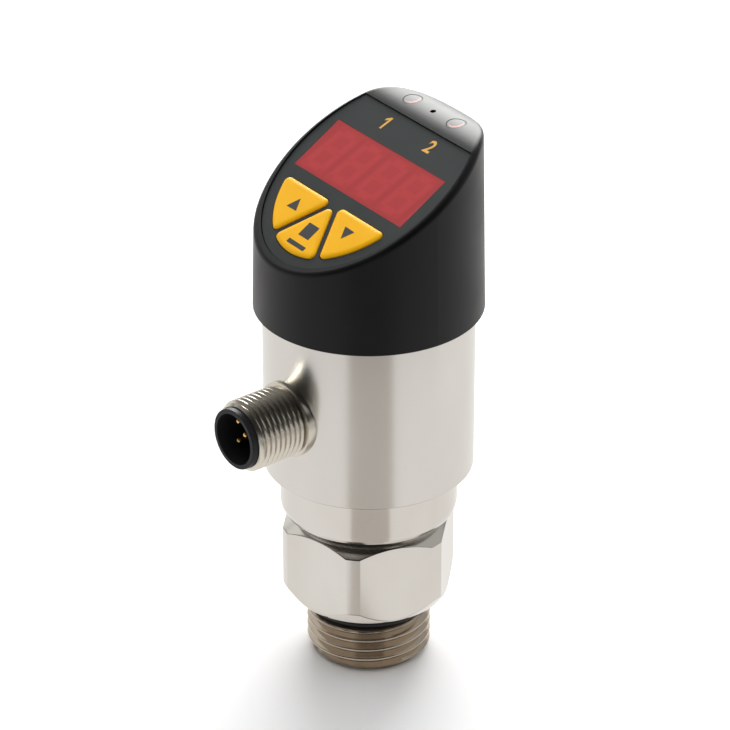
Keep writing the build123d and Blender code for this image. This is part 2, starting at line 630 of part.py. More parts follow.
def display_nodes():
    """Everything that turns with the head, except the keys."""
    under = -BOARD_DROP - BOARD_T
    heads = board_posts(POST_R, under - SCREW_HEAD_H, under)
    shanks = board_posts(POST_HOLE_R, under, -BOARD_DROP + 2.8)
    ring_heads = ring_bosses(RING_SCREW_HEAD_R, HEAD_SHOULDER_Z + 0.05, HEAD_SHOULDER_Z + 1.0)
    ring_shanks = ring_bosses(SCREW_SHANK_R, HEAD_SHOULDER_Z + 1.0, RING_TOP_Z + 2.4)
    domes = []
    for centre in KEY_CENTRES.values():
        base = face_slab(Pos(*centre) * Circle(DOME_R), -BOARD_DROP, -BOARD_DROP + DOME_H)
        domes.append(fillet(base.edges().group_by(Axis((0, 0, 0), FACE_NORMAL))[-1], 0.4))
    under_board = face_slab(Rectangle(2 * FAR, 2 * FAR), -60, under)
    nodes = {
        "head_shell": head_shell(),
        "keypad_membrane": keypad_membrane(),
        "display_window": display_window(),
        "digit_display": face_slab(Rectangle(28.4, 9.8), -BOARD_DROP, -FACE_SKIN + 0.1),
        "display_board": display_board(),
        "display_board_screws": [head + shank for head, shank in zip(heads, shanks)],
        "key_domes": domes,
        "vent_membrane": Pos(0, VENT_Y, 0) * disc(VENT_DISC_R, HEAD_CEILING_Z - VENT_DISC_T, HEAD_CEILING_Z),
        "head_retaining_ring": head_retaining_ring(),
        "retaining_ring_screws": [head + shank for head, shank in zip(ring_heads, ring_shanks)],
        "head_o_ring": ring_of_round(17.0, HEAD_SEAL_WIRE_R, (TUBE_TOP_Z + HEAD_SHOULDER_Z) / 2),
        "link_cable": disc(LINK_CABLE_R, LINK_SOCKET_Z, 86) & under_board,
    }
    nodes.update(indicator_nodes())
    return nodes


def solids_of(shape):
    """The separate solids of a shape or of a list of shapes."""
    shapes = shape if isinstance(shape, list) else [shape]
    return [solid for s in shapes for solid in s.solids()]


def main():
    os.makedirs("parts", exist_ok=True)
    nodes = fitting_nodes()
    nodes.update(housing_nodes())
    head = display_nodes()
    head.update({name: key(name, centre) for name, centre in KEY_CENTRES.items()})
    nodes.update({name: [on_head(s) for s in solids_of(shape)] for name, shape in head.items()})
    for name, shape in nodes.items():
        export_step(Compound(children=solids_of(shape)), f"parts/{name}.step")


main()
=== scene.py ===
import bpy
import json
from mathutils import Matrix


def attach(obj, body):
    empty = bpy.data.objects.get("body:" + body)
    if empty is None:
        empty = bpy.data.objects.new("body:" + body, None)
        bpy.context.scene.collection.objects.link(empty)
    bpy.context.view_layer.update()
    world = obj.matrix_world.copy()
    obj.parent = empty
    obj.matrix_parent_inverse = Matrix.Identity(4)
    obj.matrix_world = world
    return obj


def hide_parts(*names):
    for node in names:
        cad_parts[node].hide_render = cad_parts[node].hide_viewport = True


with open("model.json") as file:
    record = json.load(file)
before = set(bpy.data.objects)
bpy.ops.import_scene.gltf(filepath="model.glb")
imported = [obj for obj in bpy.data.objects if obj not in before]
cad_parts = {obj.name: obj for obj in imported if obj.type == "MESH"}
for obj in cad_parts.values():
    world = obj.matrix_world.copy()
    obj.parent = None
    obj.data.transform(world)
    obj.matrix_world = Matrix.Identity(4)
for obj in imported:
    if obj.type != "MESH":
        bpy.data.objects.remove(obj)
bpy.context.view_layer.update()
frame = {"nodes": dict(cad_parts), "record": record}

# Looks of a digital pressure switch: threaded steel parts, a black display head with yellow keys, and a pale
# studio. Shapes are worked out in millimetres in the frame's axes, and become metres when a mesh is made.
import json
from math import acos, cos, degrees, pi, radians, sin, sqrt, tan

import bmesh
import bpy
from mathutils import Matrix, Vector

MM = 0.001
TURN = 2 * pi
RECORD = frame["record"]
MOUNTS = {mount["name"]: mount for mount in RECORD["mounts"]}

# ---- camera, in degrees from -Y and above level, and in mm ----
CAMERA_AZIMUTH = 50.25
CAMERA_ELEVATION = 28.062
CAMERA_DISTANCE = 606.487
CAMERA_LENS = 181.4
AIM_HEIGHT = 53.541
AIM_LEFT = 0.63

# ---- process connection ----
THREAD_R = MOUNTS["process_thread"]["dims"]["r_mm"]
THREAD_PITCH = 1.8143
THREAD_DEPTH = 1.16
THREAD_ROUNDING = 0.24
THREAD_FLANK = radians(27.5)
THREAD_TIP_R = THREAD_R - THREAD_DEPTH - 0.08
FIRST_CREST_Z = 0.9
THREAD_END_Z = 9.17
PORT_R = MOUNTS["pressure_port"]["dims"]["r_mm"]
UNDERCUT_R = 9.2
SEAL_SEAT_R = 11.4  # the seal ring sits in this recess under the hexagon
SEAL_SEAT_Z = 12.3
HEX_BOTTOM_Z = MOUNTS["sealing_face"]["pos_m"][2] / MM
HEX_TOP_Z = 26.3
HEX_FLAT_R = 13.5
HEX_CORNER_R = 14.95
HEX_TURN = radians(9.85)
BOTTOM_FACE_R = 13.3
BOTTOM_CHAMFER_Z = 14.2
TOP_FACE_R = 12.9
TOP_CHAMFER_Z = 24.8
NECK_R = 12.0
NECK_TOP_Z = 36.5
NECK_GROOVES = ((10.9, 29.6, 31.5), (11.2, 33.1, 34.3))  # radius, lower edge, upper edge
SENSOR_POCKET_R = 9.1
SENSOR_POCKET_Z = 16.0
SENSOR_GROOVE = (5.1, 7.3, 14.7)  # inner radius, outer radius, floor

# ---- side connector ----
CONN_Z = MOUNTS["connector_thread"]["pos_m"][2] / MM
CONN_THREAD_R = MOUNTS["connector_thread"]["dims"]["r_mm"]
CONN_PITCH = 1.0
CONN_DEPTH = 0.6
CONN_FIRST_CREST = 26.64
CONN_END = 27.25
CONN_THREAD_FOOT = 18.1
CONN_COLLAR_TOP = 17.98
CONN_COLLAR_R = 6.4
CONN_TAIL_R = 5.65
CONN_TAIL_END = 9.6
CONN_BORE_R = 5.16
CONN_SEAT_R = 17.52  # where the collar meets the round housing

# ---- display head ----
HEAD_TURN = radians(-4.35)
FACE_TILT = radians(32.07)
FACE_Z = 88.61
LENS_X = 5.9
LENS_Y = 12.95
KEY_EDGE_R = 14.72
KEY_EDGE_V = -1.13
KEY_TOP_V = -7.58
KEY_APEX_V = -6.87
KEY_SPLIT = radians(30)
KEY_GAP = 1.0
KEY_CORNER = 0.92
KEY_TOP = 0.4
KEY_UNDERSIDE = -0.12
KEY_RIM = 0.88  # width of the rounded rim
KEY_RIM_STEPS = (0.0, 0.03, 0.09, 0.18, 0.30, 0.44, 0.60, 0.74, KEY_RIM)
STEM_SHARE = 0.58  # the stem's outline against the cap's
STEM_BOTTOM = -3.0
PLUNGER_R = 1.4
PLUNGER_BOTTOM = -6.5
PLUNGER_CENTRES = {"key_up": (-7.4, -11.4), "key_set": (0.0, -13.8), "key_down": (7.4, -11.4)}
INK_HEIGHT = 0.012
INK_CORNER = 0.12

# ---- unlit digits behind the red window ----
DIGIT_PITCH = 6.9
DIGIT_HALF_W = 2.0
DIGIT_HALF_H = 3.7
DIGIT_LEAN = 0.13
SEGMENT_HALF = 0.55

# ---- finishes ----
GRAIN_LINES = 9000.0  # per metre
GRAIN_SHARE = 0.12  # of a steel's tone and gloss, against soft smudges
GRAIN_DEPTH = 5e-7
BROWN_BELOW_Z = 9.0

# ---- studio ----
ROOM_BRIGHT = 1.05
ROOM_DARK = 0.06
ROOM_MIRRORED = 0.25
CARD_SIDES = (-20.5, 24.0)
WARM_TINT = (1.0, 0.95, 0.89)
ROOM_TINT = (0.985, 1.0, 0.96)


# ------------------------------------------------------------------ meshes
def new_object(name, mesh, slot, body):
    """Link a mesh as a piece that rides on a body and takes its finish from a material slot."""
    piece = bpy.data.objects.new(name, mesh)
    bpy.context.scene.collection.objects.link(piece)
    mesh.materials.append(FINISHES[slot])
    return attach(piece, body)


def mesh_from(name, build, sharp_angle=38):
    """Mesh of what build(bm) draws in millimetres, merged, right way out, with its sharp edges marked."""
    bm = bmesh.new()
    build(bm)
    bmesh.ops.remove_doubles(bm, verts=bm.verts, dist=0.0004)
    bmesh.ops.dissolve_degenerate(bm, edges=bm.edges, dist=0.0002)
    bmesh.ops.recalc_face_normals(bm, faces=bm.faces)
    for face in bm.faces:
        face.smooth = True
    for edge in bm.edges:
        edge.smooth = edge.is_manifold and edge.calc_face_angle(0) < radians(sharp_angle)
    bmesh.ops.scale(bm, vec=(MM, MM, MM), verts=bm.verts)
    mesh = bpy.data.meshes.new(name)
    bm.to_mesh(mesh)
    bm.free()
    return mesh


def even_normals(piece):
    """Large faces keep their own direction, so narrow roundings beside them shade as roundings."""
    modifier = piece.modifiers.new("even_normals", "WEIGHTED_NORMAL")
    modifier.keep_sharp = True
    modifier.weight = 60


def skin(bm, rings):
    """Faces from each ring to the next and from the last to the first. A ring ends with its first point."""
    rows = [[bm.verts.new(point) for point in ring] for ring in rings]
    for low, high in zip(rows, rows[1:] + rows[:1]):
        for k in range(len(low) - 1):
            bm.faces.new((low[k], low[k + 1], high[k + 1], high[k]))


def ring_at(angles, radius, height):
    """Closed ring about Z. Radius and height are numbers or functions of the angle."""
    points = []
    for angle in angles:
        r = radius(angle) if callable(radius) else radius
        z = height(angle) if callable(height) else height
        points.append(Vector((r * cos(angle), r * sin(angle), z)))
    return points


def thread_rings(angles, outline, crest_r, pitch, crest_z, facing, low, high, limit):
    """Rings that climb along a right-hand helix.

    At the angle facing, crests lie at crest_z plus whole pitches. outline holds (share of a pitch above the
    crest's middle, drop under the crest), and limit(z) is the radius that both ends are turned down to.
    """
    rings = []
    base = crest_z - pitch * facing / TURN
    first = int((low - base) / pitch) - 3
    last = int((high - base) / pitch) + 2
    for turn in range(first, last):
        for share, drop in outline:
            ring = []
            for angle in angles:
                z = base + (turn + share + angle / TURN) * pitch
                z = min(max(z, low), high)
                r = min(crest_r - drop, limit(z))
                ring.append(Vector((r * cos(angle), r * sin(angle), z)))
            rings.append(ring)
    return rings


def round_thread_outline(pitch, depth, rounding, flank_angle):
    """One pitch of a thread with equally rounded crests and roots."""
    steps = 4
    turn = pi / 2 - flank_angle
    half = []
    for k in range(steps + 1):
        a = turn * k / steps
        half.append((rounding * sin(a), rounding * (1 - cos(a))))
    mirrored = [(pitch / 2 - x, depth - drop) for x, drop in reversed(half)]
    up = half + mirrored
    down = [(pitch - x, drop) for x, drop in reversed(up)][1:-1]
    return [(x / pitch, drop) for x, drop in up + down]


def soft_min(a, b, width):
    """The smaller of two numbers, rounded where they meet."""
    h = min(max(0.5 + 0.5 * (b - a) / width, 0.0), 1.0)
    return b + (a - b) * h - width * h * (1 - h)


# ------------------------------------------------------------------ process connection
def hexagon_angles():
    """Angles round the hexagon, closer together where its flats meet the turned corners."""
    crease = degrees(acos(HEX_FLAT_R / HEX_CORNER_R))
    edge = 30 - crease
    near = [0, edge * 0.35, edge * 0.7, edge - 0.3, edge, edge + 0.3, edge + 1.0]
    half = near + [edge + 2.5 + 2.5 * k for k in range(int((29 - edge - 2.5) / 2.5) + 1)]
    around = sorted({-a for a in half} | set(half))
    angles = [HEX_TURN + radians(60 * corner + a) for corner in range(6) for a in around + [30]]
    start = angles[0]
    return angles + [start + TURN]


def flats_radius(angle):
    """Radius of the hexagon with its corners turned round."""
    off = (angle - HEX_TURN) % (pi / 3) - pi / 6
    return soft_min(HEX_FLAT_R / cos(off), HEX_CORNER_R, 0.03)


def hexagon_rings(angles):
    """Rings up the hexagon, following the curved lines where the two chamfer cones cut its flats."""
    low_slope = (HEX_CORNER_R - BOTTOM_FACE_R) / (BOTTOM_CHAMFER_Z - HEX_BOTTOM_Z)
    high_slope = (HEX_CORNER_R - TOP_FACE_R) / (HEX_TOP_Z - TOP_CHAMFER_Z)
    rounding = 0.1

    def low_line(angle):
        return HEX_BOTTOM_Z + (flats_radius(angle) - BOTTOM_FACE_R) / low_slope

    def high_line(angle):
        return HEX_TOP_Z - (flats_radius(angle) - TOP_FACE_R) / high_slope

    def radius(angle, z):
        cone = min(BOTTOM_FACE_R + (z - HEX_BOTTOM_Z) * low_slope, TOP_FACE_R + (HEX_TOP_Z - z) * high_slope)
        return soft_min(flats_radius(angle), cone, rounding)

    def rows(line, offsets, lowest, highest):
        found = []
        for offset in offsets:
            found.append([])
            for angle in angles:
                z = min(max(line(angle) + offset, lowest), highest)
                r = radius(angle, z)
                found[-1].append(Vector((r * cos(angle), r * sin(angle), z)))
        return found

    rings = [ring_at(angles, BOTTOM_FACE_R - 0.12, HEX_BOTTOM_Z)]
    rings.append(ring_at(angles, BOTTOM_FACE_R - 0.03, HEX_BOTTOM_Z + 0.02))
    offsets = (-0.22, -0.12, -0.05, 0.0, 0.05, 0.12, 0.24)
    rings += rows(low_line, offsets, HEX_BOTTOM_Z + 0.08, HEX_TOP_Z)
    middle = (HEX_BOTTOM_Z + HEX_TOP_Z) / 2
    rings.append([Vector((flats_radius(a) * cos(a), flats_radius(a) * sin(a), middle)) for a in angles])
    rings += rows(high_line, [-k for k in reversed(offsets)], HEX_BOTTOM_Z, HEX_TOP_Z - 0.05)
    top = ring_at(angles, TOP_FACE_R, HEX_TOP_Z - 0.01)
    last = rings[-1]
    rings += [[a.lerp(b, share) for a, b in zip(last, top)] for share in (0.25, 0.5, 0.75, 0.95)]
    return rings + [top, ring_at(angles, TOP_FACE_R - 0.12, HEX_TOP_Z)]


def build_fitting(bm):
    """Threaded fitting as one closed skin: thread, undercut, hexagon, neck, sensor pocket, pressure port."""
    angles = hexagon_angles()

    def limit(z):
        return min(THREAD_TIP_R + z * 0.9, UNDERCUT_R + (THREAD_END_Z - z) * 1.1)

    outline = round_thread_outline(THREAD_PITCH, THREAD_DEPTH, THREAD_ROUNDING, THREAD_FLANK)
    rings = [ring_at(angles, PORT_R, 0.5), ring_at(angles, PORT_R + 0.5, 0.0)]
    facing = radians(CAMERA_AZIMUTH - 90) % TURN
    rings += thread_rings(angles, outline, THREAD_R, THREAD_PITCH, FIRST_CREST_Z, facing,
                          0.0, THREAD_END_Z, limit)
    for r, z in ((UNDERCUT_R, SEAL_SEAT_Z), (SEAL_SEAT_R, SEAL_SEAT_Z), (SEAL_SEAT_R, HEX_BOTTOM_Z)):
        rings.append(ring_at(angles, r, z))
    rings += hexagon_rings(angles)
    corners = [(NECK_R, HEX_TOP_Z)]
    for groove_r, low, high in NECK_GROOVES:
        corners += [(NECK_R, low), (groove_r, low), (groove_r, high), (NECK_R, high)]
    corners += [(NECK_R, NECK_TOP_Z), (SENSOR_POCKET_R, NECK_TOP_Z), (SENSOR_POCKET_R, SENSOR_POCKET_Z)]
    inner, outer, floor = SENSOR_GROOVE
    corners += [(outer, SENSOR_POCKET_Z), (outer, floor), (inner, floor), (inner, SENSOR_POCKET_Z)]
    corners.append((PORT_R, SENSOR_POCKET_Z))
    rings += [ring_at(angles, r, z) for r, z in corners]
    skin(bm, rings)


# ------------------------------------------------------------------ side connector
def build_sleeve(bm):
    """Threaded sleeve as one closed skin, made about its own axis and laid along -Y."""
    steps = 168
    angles = [TURN * k / steps for k in range(steps + 1)]
    root_r = CONN_THREAD_R - CONN_DEPTH

    def on_housing(radius):
        return lambda angle: sqrt(CONN_SEAT_R ** 2 - (radius * cos(angle)) ** 2)

    def limit(h):
        return min(root_r + (h - CONN_THREAD_FOOT) * 1.2, root_r - 0.06 + (CONN_END - h) * 0.9)

    flank = [(0.055, 0.0), (0.085, 0.025), (0.40, CONN_DEPTH - 0.05), (0.44, CONN_DEPTH)]
    other_flank = [(1 - share, drop) for share, drop in reversed(flank)]
    outline = [(0.0, 0.0)] + flank + [(0.5, CONN_DEPTH)] + other_flank
    rings = [ring_at(angles, CONN_BORE_R, CONN_TAIL_END), ring_at(angles, CONN_TAIL_R, CONN_TAIL_END)]
    for r in (CONN_TAIL_R, CONN_COLLAR_R):
        rings.append(ring_at(angles, r, on_housing(r)))
    for inward, drop in ((0.0, 0.11), (0.03, 0.04), (0.1, 0.0)):
        rings.append(ring_at(angles, CONN_COLLAR_R - inward, CONN_COLLAR_TOP - drop))
    rings += thread_rings(angles, outline, CONN_THREAD_R, CONN_PITCH, CONN_FIRST_CREST, 0.0,
                          CONN_THREAD_FOOT, CONN_END, limit)
    rings.append(ring_at(angles, CONN_BORE_R + 0.08, CONN_END))
    rings.append(ring_at(angles, CONN_BORE_R, CONN_END - 0.08))
    skin(bm, rings)
    lay = Matrix.Translation((0, 0, CONN_Z)) @ Matrix.Rotation(pi / 2, 4, "X")
    bmesh.ops.transform(bm, matrix=lay, verts=bm.verts)


# ------------------------------------------------------------------ keys, on the sloping face
FACE_NORMAL = Vector((0, -sin(FACE_TILT), cos(FACE_TILT)))
HEAD_ROTATION = Matrix.Rotation(HEAD_TURN, 4, "Z")


def on_face(u, v, height=0.0):
    """Point at (u across, v up the face), at a height above the keypad film, in the frame."""
    flat = Vector((u, v * cos(FACE_TILT), FACE_Z + v * sin(FACE_TILT)))
    return HEAD_ROTATION @ (flat + FACE_NORMAL * height)


def edge_v(u):
    """Lower edge of the keys: a circle as seen from above."""
    return KEY_EDGE_V - sqrt(KEY_EDGE_R ** 2 - u ** 2) / cos(FACE_TILT)


def where_line_meets_edge(start, direction):
    """Point where a line down the face reaches the keys' round lower edge."""
    low, high = 0.0, 30.0
    for _ in range(50):
        middle = (low + high) / 2
        point = start + direction * middle
        inside = point.x ** 2 + ((point.y - KEY_EDGE_V) * cos(FACE_TILT)) ** 2 < KEY_EDGE_R ** 2
        low, high = (middle, high) if inside else (low, middle)
    return start + direction * low


def key_corners(name):
    """The three corners of a key: its inner corner, then the two ends of its round edge."""
    gap = KEY_GAP / 2
    if name == "key_set":
        tip = Vector((0, KEY_APEX_V - gap / sin(KEY_SPLIT)))
        right = where_line_meets_edge(tip, Vector((sin(KEY_SPLIT), -cos(KEY_SPLIT))))
        return [tip, right, Vector((-right.x, right.y))]
    side = -1 if name == "key_up" else 1
    inner = Vector((side * (gap / cos(KEY_SPLIT) + (KEY_APEX_V - KEY_TOP_V) * tan(KEY_SPLIT)), KEY_TOP_V))
    outer_u = sqrt(KEY_EDGE_R ** 2 - ((KEY_TOP_V - KEY_EDGE_V) * cos(FACE_TILT)) ** 2)
    outer = Vector((side * outer_u, KEY_TOP_V))
    low = where_line_meets_edge(inner, Vector((side * sin(KEY_SPLIT), -cos(KEY_SPLIT))))
    return [inner, outer, low]


def rounded_corner(before, after):
    """Arc where one side of a key turns into the next, and how far from the corner the arc starts."""
    corner = after[0]
    incoming = (before[-6] - corner).normalized()
    outgoing = (after[5] - corner).normalized()
    half_angle = incoming.angle(outgoing) / 2
    reach = KEY_CORNER / tan(half_angle)
    centre = corner + (incoming + outgoing).normalized() * (KEY_CORNER / sin(half_angle))
    start = corner + incoming * reach - centre
    end = corner + outgoing * reach - centre
    sweep = pi - 2 * half_angle
    steps = 16
    turns = [sweep * t / steps for t in range(steps + 1)]
    return [centre + (start * sin(sweep - turn) + end * sin(turn)) / sin(sweep) for turn in turns], reach


def key_outline(name):
    """Even points round a key, with rounded corners."""
    corners = key_corners(name)
    steps = 60
    sides = []
    for a, b in zip(corners, corners[1:] + corners[:1]):
        sides.append([a.lerp(b, t / steps) for t in range(steps + 1)])
    sides[1][1:-1] = [Vector((p.x, edge_v(p.x))) for p in sides[1][1:-1]]
    arcs = [rounded_corner(sides[k - 1], sides[k]) for k in range(3)]
    outline = []
    for k in range(3):
        side = sides[k]
        from_start = arcs[k][1] + 0.1
        from_end = arcs[(k + 1) % 3][1] + 0.1
        outline += arcs[k][0]
        for p in side:
            if (p - side[0]).length > from_start and (p - side[-1]).length > from_end:
                outline.append(p)
    return resample(outline, 0.2)


def resample(points, spacing):
    """The same closed line with evenly spaced points, anticlockwise."""
    lengths = [(points[(k + 1) % len(points)] - points[k]).length for k in range(len(points))]
    count = max(12, round(sum(lengths) / spacing))
    step = sum(lengths) / count
    found, walked, k = [], 0.0, 0
    for n in range(count):
        while walked + lengths[k] < n * step:
            walked += lengths[k]
            k += 1
        share = (n * step - walked) / max(lengths[k], 1e-9)
        found.append(points[k].lerp(points[(k + 1) % len(points)], share))
    area = sum(a.x * b.y - b.x * a.y for a, b in zip(found, found[1:] + found[:1]))
    return found if area > 0 else found[::-1]


def inset(points, distance):
    """A closed anticlockwise line moved inwards."""
    moved = []
    for k, point in enumerate(points):
        along = points[(k + 1) % len(points)] - points[k - 1]
        inward = Vector((-along.y, along.x)).normalized()
        moved.append(point + inward * distance)
    return moved


def slab(bm, loops):
    """Closed solid on the face from (outline, height) loops, lowest first, with a fan at each end."""
    rows = [[bm.verts.new(on_face(p.x, p.y, height)) for p in outline] for outline, height in loops]
    count = len(rows[0])
    for low, high in zip(rows, rows[1:]):
        for k in range(count):
            n = (k + 1) % count
            bm.faces.new((low[k], low[n], high[n], high[k]))
    for row in (rows[0][::-1], rows[-1]):
        middle = bm.verts.new(sum((vertex.co for vertex in row), Vector()) / count)
        for k in range(count):
            bm.faces.new((row[k], row[(k + 1) % count], middle))


def build_key(name):
    """Draws a key: pillow-shaped cap, stem through the head's wall, and round plunger."""
    gap = 0.01
    steps = 32

    def rim_height(inward):
        """Quarter of an ellipse, with a small upright step at the edge."""
        return max(KEY_TOP * sqrt(1 - (1 - inward / KEY_RIM) ** 2), 0.03)

    def build(bm):
        outline = key_outline(name)
        loops = [(inset(outline, inward), rim_height(inward)) for inward in KEY_RIM_STEPS]
        slab(bm, [(outline, KEY_UNDERSIDE)] + loops)
        middle = sum(outline, Vector((0, 0))) / len(outline)
        stem = [middle.lerp(point, STEM_SHARE) for point in outline]
        slab(bm, [(stem, STEM_BOTTOM), (stem, KEY_UNDERSIDE - gap)])
        centre = Vector(PLUNGER_CENTRES[name])
        turns = [TURN * k / steps for k in range(steps)]
        circle = [centre + Vector((cos(turn), sin(turn))) * PLUNGER_R for turn in turns]
        slab(bm, [(circle, PLUNGER_BOTTOM), (circle, STEM_BOTTOM - gap)])
    return build


def build_mark(points):
    """Draws a thin mark printed on a key, with slightly rounded corners."""
    def build(bm):
        outline = []
        count = len(points)
        for k, (x, y) in enumerate(points):
            here = Vector((x, y))
            before = (Vector(points[k - 1]) - here).normalized()
            after = (Vector(points[(k + 1) % count]) - here).normalized()
            for t in range(5):
                s = t / 4
                outline.append(here + before * INK_CORNER * (1 - s) ** 2 + after * INK_CORNER * s ** 2)
        slab(bm, [(outline, KEY_TOP - 0.01), (outline, KEY_TOP + INK_HEIGHT)])
    return build


def rectangle(u, v, width, height):
    """Corners of a rectangle on the face, anticlockwise."""
    w, h = width / 2, height / 2
    return [(u - w, v - h), (u + w, v - h), (u + w, v + h), (u - w, v + h)]


# ------------------------------------------------------------------ finishes
class Finish:
    """A material under construction: a Principled shader and what feeds it."""

    def __init__(self, name, **values):
        self.material = bpy.data.materials.new(name)
        self.material.use_nodes = True
        self.tree = self.material.node_tree
        self.shader = self.tree.nodes["Principled BSDF"]
        for socket, value in values.items():
            self.shader.inputs[socket.replace("_", " ")].default_value = value

    def add(self, kind, inputs=(), **settings):
        """New node, with inputs given by index or name as values or as other nodes' outputs."""
        node = self.tree.nodes.new(kind)
        for key, value in settings.items():
            setattr(node, key, value)
        for key, value in dict(inputs).items():
            if isinstance(value, bpy.types.NodeSocket):
                self.tree.links.new(value, node.inputs[key])
            else:
                node.inputs[key].default_value = value
        return node

    def feed(self, socket, output):
        self.tree.links.new(output, self.shader.inputs[socket])

    def place(self):
        return self.add("ShaderNodeTexCoord").outputs["Object"]

    def math(self, operation, a, b=0.0):
        return self.add("ShaderNodeMath", {0: a, 1: b}, operation=operation).outputs[0]

    def scaled(self, x, y, z):
        """Object coordinates times a number along each axis."""
        inputs = {0: self.place(), 1: (x, y, z)}
        return self.add("ShaderNodeVectorMath", inputs, operation="MULTIPLY").outputs[0]

    def noise(self, vector, detail=2.0, roughness=0.5):
        inputs = {"Vector": vector, "Scale": 1.0, "Detail": detail, "Roughness": roughness}
        return self.add("ShaderNodeTexNoise", inputs).outputs["Fac"]

    def spread(self, value, low, high, start=0.3, end=0.7):
        """Map a noise value onto a range of numbers."""
        inputs = {"Value": value, "From Min": start, "From Max": end, "To Min": low, "To Max": high}
        return self.add("ShaderNodeMapRange", inputs).outputs[0]

    def length(self, a, b):
        """Root of the sum of two squares."""
        squares = self.math("ADD", self.math("MULTIPLY", a, a), self.math("MULTIPLY", b, b))
        return self.math("SQRT", squares)

    def blend(self, factor, first, second):
        """Mix two colours."""
        node = self.add("ShaderNodeMix", data_type="RGBA")
        self.tree.links.new(factor, node.inputs["Factor"])
        for key, colour in (("A", first), ("B", second)):
            socket = [s for s in node.inputs if s.name == key and s.type == "RGBA"][0]
            if isinstance(colour, bpy.types.NodeSocket):
                self.tree.links.new(colour, socket)
            else:
                socket.default_value = (*colour, 1.0)
        return [s for s in node.outputs if s.type == "RGBA"][0]

    def bump(self, height, distance):
        inputs = {"Height": height, "Distance": distance, "Strength": 1.0}
        self.feed("Normal", self.add("ShaderNodeBump", inputs).outputs[0])


def turned_grain(finish, axis):
    """Coordinates whose noise makes fine lines round the main axis, Z, or the connector's, Y."""
    parts = finish.add("ShaderNodeSeparateXYZ", {0: finish.place()}).outputs
    if axis == "Z":
        across, up, along = parts[0], parts[1], parts[2]
    else:
        across, up, along = parts[0], finish.math("SUBTRACT", parts[2], CONN_Z * MM), parts[1]
    radius = finish.math("MULTIPLY", finish.length(across, up), 0.7 * GRAIN_LINES)
    height = finish.math("MULTIPLY", along, GRAIN_LINES)
    inputs = {0: finish.math("MULTIPLY", across, 70.0), 1: finish.math("MULTIPLY", up, 70.0),
              2: finish.math("ADD", radius, height)}
    return finish.add("ShaderNodeCombineXYZ", inputs).outputs[0]


def steel(name, bright, dark, rough, axis="Z", oiled=False):
    """Turned or ground metal: lines round its axis, soft smudges, uneven gloss.

    With the last flag set, it is brown below a set height near its bottom.
    """
    finish = Finish(name, Metallic=1.0)
    grain = finish.noise(turned_grain(finish, axis), detail=3.0, roughness=0.6)
    smudge = finish.noise(finish.scaled(90, 90, 45), detail=3.0)
    both = finish.math("ADD", finish.math("MULTIPLY", grain, GRAIN_SHARE),
                       finish.math("MULTIPLY", smudge, 1 - GRAIN_SHARE))
    tone = finish.blend(finish.spread(both, 0.0, 1.0), dark, bright)
    if oiled:
        height = finish.add("ShaderNodeSeparateXYZ", {0: finish.place()}).outputs[2]
        low = finish.spread(height, 1.0, 0.0, BROWN_BELOW_Z * MM, (BROWN_BELOW_Z + 0.4) * MM)
        tone = finish.blend(low, tone, finish.blend(smudge, (0.36, 0.30, 0.24), (0.54, 0.47, 0.39)))
    finish.feed("Base Color", tone)
    finish.feed("Roughness", finish.spread(both, rough[0], rough[1]))
    finish.bump(grain, GRAIN_DEPTH)
    return finish.material


def moulded(name, colour, second, rough, cell=5200.0, depth=3e-6, **values):
    """Moulded plastic or rubber with a fine eroded texture and faint changes of tone."""
    finish = Finish(name, **values)
    pits = finish.noise(finish.scaled(cell, cell, cell), detail=2.0, roughness=0.6)
    cloud = finish.noise(finish.scaled(120, 120, 120), detail=3.0)
    finish.feed("Base Color", finish.blend(finish.spread(cloud, 0.0, 1.0), colour, second))
    finish.feed("Roughness", finish.spread(cloud, rough[0], rough[1]))
    finish.bump(pits, depth)
    return finish.material


def laminate(name):
    """Green solder mask over laminate, with the copper tracks showing as lighter lines."""
    finish = Finish(name, Specular_IOR_Level=0.5)
    inputs = {"Vector": finish.scaled(900, 900, 900), "Scale": 1.0, "Mortar Size": 0.12,
              "Color1": (0, 0, 0, 1), "Color2": (0, 0, 0, 1), "Mortar": (1, 1, 1, 1)}
    cells = finish.add("ShaderNodeTexBrick", inputs)
    finish.feed("Base Color", finish.blend(cells.outputs["Color"], (0.012, 0.12, 0.045), (0.03, 0.24, 0.08)))
    weave = finish.noise(finish.scaled(2500, 2500, 2500))
    finish.feed("Roughness", finish.spread(weave, 0.25, 0.4))
    finish.bump(weave, 4e-6)
    return finish.material


def porous(name):
    """White porous membrane."""
    finish = Finish(name)
    cells = finish.add("ShaderNodeTexVoronoi", {"Vector": finish.scaled(6000, 6000, 6000), "Scale": 1.0})
    gap = cells.outputs["Distance"]
    finish.feed("Base Color", finish.blend(gap, (0.9, 0.9, 0.9), (0.7, 0.7, 0.7)))
    finish.feed("Roughness", finish.spread(gap, 0.7, 0.95, 0.0, 1.0))
    finish.bump(gap, 2e-5)
    return finish.material


def head_place(finish):
    """Millimetres across and along the head as seen from above, from object coordinates."""
    inputs = {"Vector": finish.place(), "Scale": (1000, 1000, 1000)}
    turn = finish.add("ShaderNodeMapping", {**inputs, "Rotation": (0, 0, -HEAD_TURN)}).outputs[0]
    parts = finish.add("ShaderNodeSeparateXYZ", {0: turn}).outputs
    return parts[0], parts[1]


